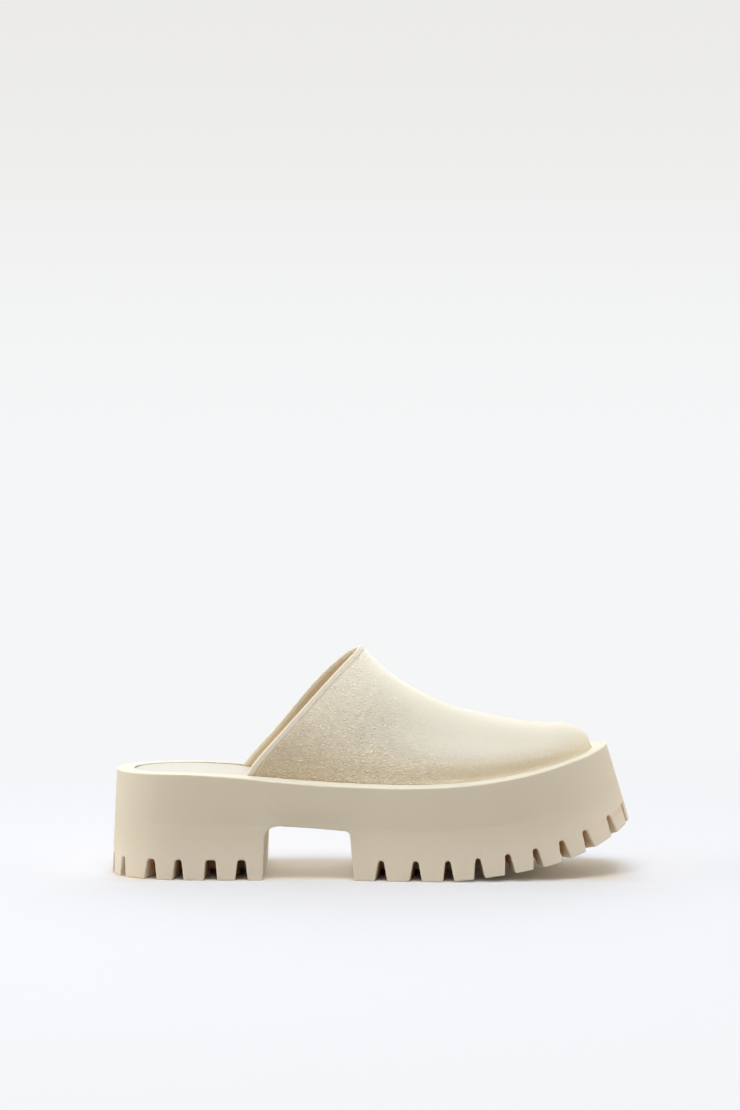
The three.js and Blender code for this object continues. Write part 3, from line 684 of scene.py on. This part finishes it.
def make_insole():
    """A dished plate that fills the tray at the heel and stands inside the foot of the upper."""
    tray = along_line(np.vstack([SIDE["tray"], SIDE["tray"][:1]]), np.arange(INSOLE_POINTS) / INSOLE_POINTS)
    narrow = 2 * CLEARANCE + WALL + CLEARANCE / 2
    lateral = np.arange(INSOLE_POINTS) <= INSOLE_POINTS // 2
    share = np.where(lateral, COLLAR_LATERAL_SHARE, COLLAR_MEDIAL_SHARE)
    behind = length_at(share) - CLEARANCE - tray[:, 0]
    edge = inset(tray, mix(narrow, INSOLE_GROOVE, smoothstep(behind, 0, WALL)))

    def top(loop):
        drop = mix(INSOLE_HEEL_DROP, INSOLE_DROP, smoothstep(share_at(loop[:, 0]), *INSOLE_SLOPE))
        return top_height(loop[:, 0]) - drop

    loops = [raised(edge, top_height(edge[:, 0]) - TRAY_DEPTH + CLEARANCE)]
    for s in np.linspace(0, np.pi / 2, BEVEL_ROWS + 1):
        row = inset(edge, INSOLE_ROUND * (1 - np.cos(s)))
        loops.append(raised(row, top(row) - INSOLE_ROUND * (1 - np.sin(s))))
    rounded = loops[-1]
    end = BALL_WIDTH / 3
    inward = np.clip(rounded[:, 0], rounded[:, 0].min() + end, rounded[:, 0].max() - end)
    low = np.interp(inward, rounded[lateral, 0], rounded[lateral, 1])
    high = np.interp(inward, rounded[~lateral, 0][::-1], rounded[~lateral, 1][::-1])
    spine = np.column_stack([inward, (low + high) / 2])
    for s in np.linspace(0, 1, INSOLE_ROWS + 1)[1:]:
        row = rounded.copy()
        row[:, :2] = mix(rounded[:, :2], spine, s**2 * INSOLE_CLOSE)
        loops.append(raised(row, top(row) - INSOLE_DISH * smoothstep(s, 0, 1)))
    return new_object("insole_fine", *through_loops(loops))


def upper_foot(lateral, collar_share):
    """Foot of the upper on one side, from the collar to the toe, just inside the tray's edge."""
    half = LOOP_POINTS // 2
    order = np.arange(half + 1) if lateral else (LOOP_POINTS - np.arange(half + 1)) % LOOP_POINTS
    line = inset(SIDE["tray"], CLEARANCE)[order]
    start = length_at(collar_share) + WALL / 2
    first = int(np.argmax(line[:, 0] > start))
    before, after = line[first - 1], line[first]
    enter = mix(before, after, (start - before[0]) / (after[0] - before[0]))
    return np.vstack([enter, line[first:]])


def ridge_line():
    """Ridge of the upper from the collar down to the toe."""
    x = length_at(np.array(RIDGE["along"]))
    y = np.array(RIDGE["across"]) * BALL_WIDTH
    z = top_height(x) + np.array(RIDGE["rise"]) * UPPER_RISE
    points = np.column_stack([x, y, z])
    toe = SIDE["tray"][LOOP_POINTS // 2].copy()
    toe[0] -= CLEARANCE
    toe[2] = top_height(toe[0])
    return centripetal(np.vstack([points, toe]), False)


def upper_grid():
    """The upper's outside as stations from collar to toe, each from the lateral foot to the medial one, the
    small hollow at its foot, and each station's distance from the collar."""
    lateral_foot = upper_foot(True, COLLAR_LATERAL_SHARE)
    medial_foot = upper_foot(False, COLLAR_MEDIAL_SHARE)
    ridge = ridge_line()
    length = np.linalg.norm(np.diff(ridge, axis=0), axis=1).sum()
    near = np.linspace(0, 4 * BAND_WIDTH, BAND_STATIONS) / length
    far = mix(near[-1], 1, np.linspace(0, 1, UPPER_STATIONS + 1))[1:]
    u = np.concatenate([near, far])[:, None]
    half = 1 - np.linspace(0, 1, UPPER_STEPS // 2 + 1) ** FOOT_CROWDING
    v = np.concatenate([-half, half[-2::-1]])[None, :]
    lateral = v < 0
    foot = np.where(lateral[..., None], along_line(lateral_foot, u), along_line(medial_foot, u))
    crest = along_line(ridge, u)
    power = 2 / np.where(lateral, look_up(SECTIONS, "lateral", u), look_up(SECTIONS, "medial", u))
    angle = (1 - np.abs(v)) * np.pi / 2
    rise = np.maximum(0, np.sin(angle)) ** power
    bulge = look_up(SECTIONS, "bulge", u) * np.sin(np.pi * np.minimum(1, rise * BULGE_TURN)) ** 2
    across = np.maximum(0, np.cos(angle)) ** power + bulge
    bow = np.where(lateral, look_up(COLLAR, "lateral", rise), look_up(COLLAR, "medial", rise))
    x = mix(foot[..., 0], crest[..., 0], rise) - COLLAR_BOW * bow * (1 - u) ** BOW_FADE
    y = mix(crest[..., 1], foot[..., 1], across)
    z = mix(top_height(foot[..., 0]), crest[..., 2], rise)
    grid = np.stack([x, y, z], axis=-1)
    height = z - top_height(foot[..., 0])
    fillet = FILLET * np.exp(-height / FILLET_RISE) * (np.abs(v) < 1) * smoothstep(u, *FILLET_REACH)
    run = np.gradient(foot, axis=0)
    side = np.stack([run[..., 1], -run[..., 0], np.zeros(run.shape[:2])], axis=-1)
    side /= np.maximum(np.linalg.norm(side, axis=-1, keepdims=True), 1e-9)
    fillet = side * np.where(lateral, fillet, -fillet)[..., None]
    return grid, fillet, u[:, 0] * length


def grid_normals(grid):
    """Outward directions of the upper's grid, level along both feet and at the toe."""
    along = np.gradient(grid, axis=0)
    across = np.gradient(grid, axis=1)
    normals = np.cross(along, across)
    foot = np.stack([along[:, :, 1], -along[:, :, 0], np.zeros(along.shape[:2])], axis=-1)
    normals[:, 0] = foot[:, 0]
    normals[:, -1] = -foot[:, -1]
    normals[-1] = (1, 0, 0)
    return normals / np.maximum(np.linalg.norm(normals, axis=-1, keepdims=True), 1e-9)


def seam_at(distance):
    """1 in the middle of the furrow that parts the collar's band from the grain, 0 away from it."""
    return np.exp(-(((distance - BAND_WIDTH) / SEAM_WIDTH) ** 2))


def make_upper():
    """One wall, open at the collar and underneath, with a round bead along the collar's edge and the
    smooth band beside it a small soft step lower than the grain."""
    grid, fillet, distance = upper_grid()
    normals = grid_normals(grid)
    skirt = (0, 0, CLEARANCE - TRAY_DEPTH)
    grid = np.concatenate([grid[:, :1] + skirt, grid, grid[:, -1:] + skirt], axis=1)
    normals = np.concatenate([normals[:, :1], normals, normals[:, -1:]], axis=1)
    fillet = np.pad(fillet, ((0, 0), (1, 1), (0, 0)))
    step = BAND_STEP * (1 - smoothstep(distance, BAND_WIDTH - BAND_STEP, BAND_WIDTH + BAND_STEP))
    step += SEAM_DEPTH * seam_at(distance)
    outside = grid + fillet - normals * step[:, None, None]
    inside = grid - normals * WALL
    centre = (outside[0] + inside[0]) / 2
    arm = outside[0] - centre
    back = grid[0] - grid[1]
    back = back - normals[0] * (back * normals[0]).sum(axis=-1, keepdims=True)
    back *= np.linalg.norm(arm, axis=-1, keepdims=True) / np.linalg.norm(back, axis=-1, keepdims=True)
    turns = np.linspace(0, np.pi, BEAD_STEPS + 1)[1:-1][::-1]
    bead = np.stack([centre + arm * np.cos(t) + back * np.sin(t) for t in turns])
    sheet = np.concatenate([inside[::-1], bead, outside])
    rows, columns = sheet.shape[:2]
    r, c = np.meshgrid(np.arange(rows - 1), np.arange(columns - 1), indexing="ij")
    a = (r * columns + c).ravel()
    faces = np.column_stack([a, a + columns, a + columns + 1, a + 1]).tolist()
    inner = len(inside)
    start = inner + len(bead)
    for k in range(len(outside) - 1):
        out, into = (start + k) * columns, (inner - 1 - k) * columns
        last = columns - 1
        faces.append([out, into, into - columns, out + columns])
        faces.append([out + last, out + columns + last, into - columns + last, into + last])
    for end in (0, columns - 1):
        ring = [(inner - 1 + k) * columns + end for k in range(len(bead) + 2)]
        faces.append(ring if end else ring[::-1])
    piece = new_object("upper_fine", sheet.reshape(-1, 3), faces)
    mark_upper(piece, sheet, normals, distance, inner, start)
    weld = piece.modifiers.new("weld", "WELD")
    weld.merge_threshold = WELD_REACH * METRES
    settle(piece)
    return piece


def mark_upper(piece, sheet, normals, distance, inner, start):
    """Marks where the upper has its grain, band and furrow, and its painted light and shade: the tan shade
    inside, the pale highlight at its crest and the warm shade at its foot and waist. The sheet's rows are
    the inside up to inner, then the bead, then the outside from start."""
    x = sheet[..., 0]
    height = sheet[..., 2] - top_height(x)
    bead = start - inner
    rise = np.concatenate([normals[::-1, :, 2], np.zeros((bead, len(x[0]))), normals[..., 2]])
    collar = np.concatenate([distance[::-1], np.zeros(bead), distance])[:, None]
    # Painted tan shade on the inside of the upper, starting just behind the collar's edge
    inside_shade = np.where(np.arange(len(x))[:, None] < inner, smoothstep(collar, *INSIDE_SHADE_EDGE), 0) + 0 * x
    grain = smoothstep(collar / BAND_WIDTH, *GRAIN_START) * (1 - GRAIN_LOSS["inside_shade"] * inside_shade)
    grain = grain * (1 - GRAIN_LOSS["toe"] * smoothstep(x, *TOE_FADE))
    grain = grain * (1 - GRAIN_LOSS["top"] * smoothstep(rise, *TOP_FADE))
    grain = grain * (1 - GRAIN_LOSS["crest"] * smoothstep(height, *CREST_FADE))
    marked(piece, "grain", grain.ravel())
    # Painted highlight: paler towards the crest, not on the inside
    marked(piece, "crest", (smoothstep(height, *CREST_HIGHLIGHT) * (1 - inside_shade)).ravel())
    marked(piece, "inside_shade", inside_shade.ravel())
    band = 1 - smoothstep(collar / BAND_WIDTH, *BAND_END)
    marked(piece, "band", (band * (1 - inside_shade)).ravel())
    marked(piece, "seam", (seam_at(collar) * (1 - inside_shade)).ravel())
    # Painted warm shade: low on the leather near the collar's waist end and along its foot
    reach = height / WARM_RISE + np.maximum(0, x - x[start, 0]) / WARM_REACH
    low = FOOT_WARM_SHADE * (1 - smoothstep(height, *FOOT_TONE))
    marked(piece, "painted_warm_shade", np.maximum(1 - smoothstep(reach, 0, 1), low).ravel())


class Nodes:
    """A material's nodes, made and joined in short calls."""

    def __init__(self, name):
        self.material = bpy.data.materials.new(name)
        self.material.use_nodes = True
        self.tree = self.material.node_tree
        self.tree.nodes.clear()
        self.shader = self.add("ShaderNodeBsdfPrincipled")
        self.output = self.add("ShaderNodeOutputMaterial")
        self.put(self.output.inputs["Surface"], self.shader.outputs[0])
        self.place = self.add("ShaderNodeTexCoord").outputs["Object"]

    def add(self, kind, **settings):
        node = self.tree.nodes.new(kind)
        for key, value in settings.items():
            setattr(node, key, value)
        return node

    def put(self, socket, value):
        if hasattr(value, "is_output"):
            self.tree.links.new(value, socket)
        else:
            socket.default_value = value

    def stretched(self, factors):
        node = self.add("ShaderNodeMapping")
        self.put(node.inputs["Vector"], self.place)
        self.put(node.inputs["Scale"], factors)
        return node.outputs[0]

    def noise(self, size, detail=2.0, where=None, roughness=0.5):
        """Soft noise with blobs of a size in millimetres."""
        node = self.add("ShaderNodeTexNoise")
        self.put(node.inputs["Vector"], where or self.place)
        self.put(node.inputs["Scale"], 1 / (size * METRES))
        self.put(node.inputs["Detail"], detail)
        self.put(node.inputs["Roughness"], roughness)
        return node

    def maths(self, operation, *values):
        node = self.add("ShaderNodeMath", operation=operation)
        for socket, value in zip(node.inputs, values):
            self.put(socket, value)
        return node.outputs[0]

    def span(self, value, low, high, to_low, to_high):
        node = self.add("ShaderNodeMapRange", interpolation_type="SMOOTHSTEP")
        for socket, entry in zip(node.inputs, (value, low, high, to_low, to_high)):
            self.put(socket, entry)
        return node.outputs[0]

    def tint(self, factor, first, second):
        node = self.add("ShaderNodeMix", data_type="RGBA")
        self.put(node.inputs[0], factor)
        self.put(node.inputs[6], first)
        self.put(node.inputs[7], second)
        return node.outputs[2]

    def shade(self, colour, factor):
        """A colour made lighter or darker by a factor."""
        node = self.add("ShaderNodeHueSaturation")
        self.put(node.inputs["Value"], factor)
        self.put(node.inputs["Color"], colour)
        return node.outputs[0]

    def mark(self, name):
        """The number that a mesh keeps at each point under a name."""
        return self.add("ShaderNodeAttribute", attribute_name=name).outputs["Fac"]

    def inside(self, parts, middle, length, width, soft):
        """1 inside a rectangle on the floor and 0 outside it, with a soft border, in metres."""
        along = self.maths("ABSOLUTE", self.maths("SUBTRACT", parts.outputs["X"], middle))
        across = self.maths("ABSOLUTE", parts.outputs["Y"])
        spans = [(along, length / 2), (across, width / 2)]
        shares = [self.span(value, half - soft, half + soft, 1.0, 0.0) for value, half in spans]
        return self.maths("MULTIPLY", *shares)

    def facing_up(self, low, high):
        """0 where the surface's direction rises less than low, 1 where it rises more than high."""
        parts = self.add("ShaderNodeSeparateXYZ")
        self.put(parts.inputs[0], self.add("ShaderNodeNewGeometry").outputs["Normal"])
        return self.span(parts.outputs["Z"], low, high, 0.0, 1.0)

    def bump(self, height, distance, strength=1.0, before=None):
        node = self.add("ShaderNodeBump")
        self.put(node.inputs["Strength"], strength)
        self.put(node.inputs["Distance"], distance * METRES)
        self.put(node.inputs["Height"], height)
        if before:
            self.put(node.inputs["Normal"], before)
        return node.outputs[0]


def tone(name):
    """A named screen colour as a shader colour."""
    values = [v / 255 for v in COLOURS[name]]
    return tuple(v / 12.92 if v <= 0.04045 else ((v + 0.055) / 1.055) ** 2.4 for v in values) + (1,)


def foam(name, side, top, roughness, marks=()):
    """Moulded foam rubber: matte and even, with a fine skin, faint clouds and a few flow marks. Painted
    light and shade: it takes its side colour where it faces sideways and its top colour where it faces up,
    and each mark's colour where the mesh is marked."""
    nodes = Nodes(name)
    clouds = nodes.noise(FOAM["clouds"], 3).outputs["Fac"]
    specks = nodes.noise(FOAM["specks"], 2).outputs["Fac"]
    # Painted light and shade: side colour where the surface faces sideways, top colour where it faces up
    colour = nodes.tint(nodes.facing_up(0.25, 0.75), tone(side), tone(top))
    # Painted light and shade at the marked places: floor bounce on the lugs, warm shade in the notches,
    # light under the arch
    for mark in marks:
        colour = nodes.tint(nodes.mark(mark), colour, tone(mark))
    shade = nodes.maths("ADD", nodes.maths("MULTIPLY", clouds, 0.75), nodes.maths("MULTIPLY", specks, 0.25))
    colour = nodes.shade(colour, nodes.span(shade, 0.35, 0.65, 0.985, 1.015))
    nodes.put(nodes.shader.inputs["Base Color"], colour)
    gloss = nodes.span(clouds, 0.3, 0.7, roughness - 0.04, roughness + 0.06)
    nodes.put(nodes.shader.inputs["Roughness"], gloss)
    nodes.put(nodes.shader.inputs["Specular IOR Level"], 0.2)
    skin = nodes.noise(FOAM["skin"], 3).outputs["Fac"]
    flow = nodes.noise(FOAM["flow"], 2).outputs["Fac"]
    normal = nodes.bump(flow, 0.12, 0.6)
    nodes.put(nodes.shader.inputs["Normal"], nodes.bump(skin, 0.04, 0.5, normal))
    return nodes.material


def pebbles(nodes):
    """Fine uneven pebbles, longer along the shoe than across it, 0 in their furrows and 1 on top."""
    warp = nodes.noise(LEATHER["warp"], 2)
    bend = nodes.add("ShaderNodeVectorMath", operation="MULTIPLY_ADD")
    nodes.put(bend.inputs[0], warp.outputs["Color"])
    nodes.put(bend.inputs[1], (PEBBLE_BEND * METRES,) * 3)
    nodes.put(bend.inputs[2], nodes.stretched(PEBBLE_STRETCH))
    cells = nodes.add("ShaderNodeTexVoronoi", feature="DISTANCE_TO_EDGE")
    nodes.put(cells.inputs["Vector"], bend.outputs[0])
    nodes.put(cells.inputs["Scale"], 1 / (GRAIN_SIZE * METRES))
    return nodes.span(cells.outputs["Distance"], 0.0, FURROW_WIDTH, 0.0, 1.0)


def grained(name):
    """Fine pebbled grain, its creases running mostly along the shoe, smooth beside the collar and finer
    towards the toe. The leather has painted light and shade: a side and a top colour by how it faces, a
    warm shade at its foot and waist, a pale highlight at its crest, a tan shade inside and shade in its
    furrows. It is also paler at its collar."""
    nodes = Nodes(name)
    pebble = pebbles(nodes)
    drawn = nodes.noise(LEATHER["drawn"], 2, where=nodes.stretched(DRAWN_STRETCH)).outputs["Fac"]
    fine = nodes.noise(LEATHER["fine"], 2).outputs["Fac"]
    wide = nodes.noise(LEATHER["wide"], 2).outputs["Fac"]
    clouds = nodes.noise(LEATHER["clouds"], 3).outputs["Fac"]
    depth = nodes.maths("MULTIPLY", nodes.mark("grain"), nodes.span(wide, 0.3, 0.7, 0.9, 1.0))
    height = nodes.maths("ADD", pebble, nodes.maths("MULTIPLY", drawn, DRAWN_HEIGHT))
    height = nodes.maths("ADD", height, nodes.maths("MULTIPLY", fine, FINE_HEIGHT))
    normal = nodes.bump(nodes.maths("MULTIPLY", height, depth), GRAIN_DEPTH)
    # Painted light and shade: side colour where the leather faces sideways, top colour where it faces up
    base = nodes.tint(nodes.facing_up(0.1, 0.65), tone("leather_side"), tone("leather_top"))
    # Painted warm shade at the leather's foot and waist
    base = nodes.tint(nodes.mark("painted_warm_shade"), base, tone("leather_shaded_warm"))
    base = nodes.shade(base, nodes.span(clouds, 0.3, 0.7, 0.99, 1.01))
    # Painted shade: the grain's furrows are darkened towards the furrow colour
    furrow = nodes.maths("MULTIPLY", nodes.maths("SUBTRACT", 1.0, pebble), depth)
    crease = nodes.span(drawn, *DRAWN_EDGE, 0.0, 1.0)
    furrow = nodes.maths("MULTIPLY", furrow, nodes.span(crease, 0.0, 1.0, 1.0, 1.0 - DRAWN_LOSS))
    # Painted highlight towards the crest
    base = nodes.tint(nodes.mark("crest"), base, tone("leather_crest_highlight"))
    # Painted tan shade inside the upper
    base = nodes.tint(nodes.mark("inside_shade"), base, tone("inside_shade"))
    base = nodes.tint(nodes.maths("MULTIPLY", furrow, FURROW_SHADE), base, tone("furrows"))
    base = nodes.tint(nodes.mark("band"), base, tone("band"))
    # Painted shade in the furrow beside the band
    seam = nodes.maths("MULTIPLY", nodes.mark("seam"), SEAM_SHADE)
    nodes.put(nodes.shader.inputs["Base Color"], nodes.tint(seam, base, tone("furrows")))
    nodes.put(nodes.shader.inputs["Roughness"], nodes.span(pebble, 0.0, 1.0, *LEATHER_ROUGHNESS))
    nodes.put(nodes.shader.inputs["Specular IOR Level"], 0.4)
    nodes.put(nodes.shader.inputs["Normal"], normal)
    return nodes.material


def dress(piece, node, material):
    """Puts a piece in the place of a node, with its material and smooth shading."""
    piece.data.materials.clear()
    piece.data.materials.append(material)
    piece.data.polygons.foreach_set("use_smooth", [True] * len(piece.data.polygons))
    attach(piece, "root")
    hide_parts(node)


def floor_paper():
    """Pale paper, evenly glowing far away and shaded by the shoe nearby, where a share of glow lightens the
    cast shadow as painted light. Beneath the heel and the forefoot that glow is left out, a painted shadow,
    and beneath the shoe the paper and glow are warmer, a painted warm shadow and bounce."""
    nodes = Nodes("studio_paper")
    parts = nodes.add("ShaderNodeSeparateXYZ")
    nodes.put(parts.inputs[0], nodes.place)
    beneath = nodes.inside(parts, *FOOTPRINT)
    # Painted warm shadow on the paper beneath the shoe
    paper = nodes.tint(beneath, tone("paper"), tone("paper_warm_shadow"))
    nodes.put(nodes.shader.inputs["Base Color"], paper)
    nodes.put(nodes.shader.inputs["Roughness"], 0.8)
    nodes.put(nodes.shader.inputs["Specular IOR Level"], 0.1)
    away = nodes.add("ShaderNodeVectorMath", operation="LENGTH")
    nodes.put(away.inputs[0], nodes.place)
    # Painted shadows: the glow is left out beneath the heel and the forefoot
    clear = [nodes.maths("SUBTRACT", 1.0, nodes.inside(parts, *spot)) for spot in CONTACT_SHADOWS]
    lit = nodes.maths("MULTIPLY", nodes.maths("MULTIPLY", *clear), NEAR_GLOW)
    far = nodes.span(away.outputs["Value"], *SHADED_REACH, lit, 1.0)
    high = nodes.span(parts.outputs["Z"], *GREY_HEIGHTS, 0.0, 1.0)
    even = nodes.tint(high, tone("glow"), tone("glow_high"))
    glow = nodes.add("ShaderNodeEmission")
    # Painted warm bounce light in the glow beneath the shoe
    nodes.put(glow.inputs["Color"], nodes.tint(beneath, even, tone("glow_warm_bounce")))
    blend = nodes.add("ShaderNodeMixShader")
    for socket, value in zip(blend.inputs, (far, nodes.shader.outputs[0], glow.outputs[0])):
        nodes.put(socket, value)
    nodes.put(nodes.output.inputs["Surface"], blend.outputs[0])
    return nodes.material


def studio_floor():
    """A plain floor that sweeps up behind the shoe."""
    sweep = np.linspace(0, np.pi / 2, FLOOR_STEPS + 1)
    line = [(FLOOR_FRONT, 0.0)]
    line += [(FLOOR_BACK + FLOOR_BEND * math.sin(t), FLOOR_BEND * (1 - math.cos(t))) for t in sweep]
    line.append((FLOOR_BACK + FLOOR_BEND, FLOOR_TOP))
    points = [(x / METRES, y / METRES, z / METRES) for y, z in line for x in (-FLOOR_SIDE, FLOOR_SIDE)]
    faces = [[2 * k, 2 * k + 1, 2 * k + 3, 2 * k + 2] for k in range(len(line) - 1)]
    floor = new_object("studio_floor", points, faces)
    floor.data.polygons.foreach_set("use_smooth", [True] * len(faces))
    floor.data.materials.append(floor_paper())


def area_light(name, place, size, power):
    """A soft white box that points at the shoe and isn't seen itself."""
    light = bpy.data.lights.new(name, "AREA")
    light.shape = "RECTANGLE"
    light.size, light.size_y = size
    light.energy = power
    lamp = bpy.data.objects.new(name, light)
    lamp.location = place
    lamp.visible_camera = False
    aim = np.array(LIGHT_TARGET) - np.array(place)
    pitch = math.atan2(math.hypot(aim[0], aim[1]), -aim[2])
    lamp.rotation_euler = (pitch, 0, math.atan2(aim[1], aim[0]) - math.pi / 2)
    bpy.context.scene.collection.objects.link(lamp)


def lights():
    """Soft boxes above, before, behind and on both sides, in a dim room whose walls look pale."""
    world = bpy.data.worlds.new("room")
    bpy.context.scene.world = world
    world.use_nodes = True
    background = world.node_tree.nodes["Background"]
    background.inputs["Strength"].default_value = ROOM_LIGHT
    wall = world.node_tree.nodes.new("ShaderNodeBackground")
    wall.inputs["Color"].default_value = tone("glow_high")
    seen = world.node_tree.nodes.new("ShaderNodeLightPath").outputs["Is Camera Ray"]
    blend = world.node_tree.nodes.new("ShaderNodeMixShader")
    output = world.node_tree.nodes["World Output"]
    for start, end in zip((seen, background.outputs[0], wall.outputs[0]), blend.inputs):
        world.node_tree.links.new(start, end)
    world.node_tree.links.new(blend.outputs[0], output.inputs["Surface"])
    for box in SOFT_BOXES:
        area_light(*box)


def camera():
    data = bpy.data.cameras.new("camera")
    data.lens = CAMERA_LENS
    data.sensor_width = CAMERA_SENSOR
    data.clip_end = CAMERA_REACH
    eye = bpy.data.objects.new("camera", data)
    eye.location = CAMERA_PLACE
    eye.rotation_euler = (math.radians(90 - CAMERA_TILT), 0, 0)
    bpy.context.scene.collection.objects.link(eye)
    bpy.context.scene.camera = eye


camera()
lights()
studio_floor()
bpy.context.scene.view_settings.view_transform = "Standard"

sole_foam = foam("sole_foam", "sole_side", "sole_top", SOLE_ROUGHNESS, ("lug_floor_bounce", "notch_shade", "arch"))
dress(make_sole(), "sole", sole_foam)
dress(make_insole(), "insole", foam("insole_foam", "insole", "insole", INSOLE_ROUGHNESS))
dress(make_upper(), "upper", grained("upper_grain"))
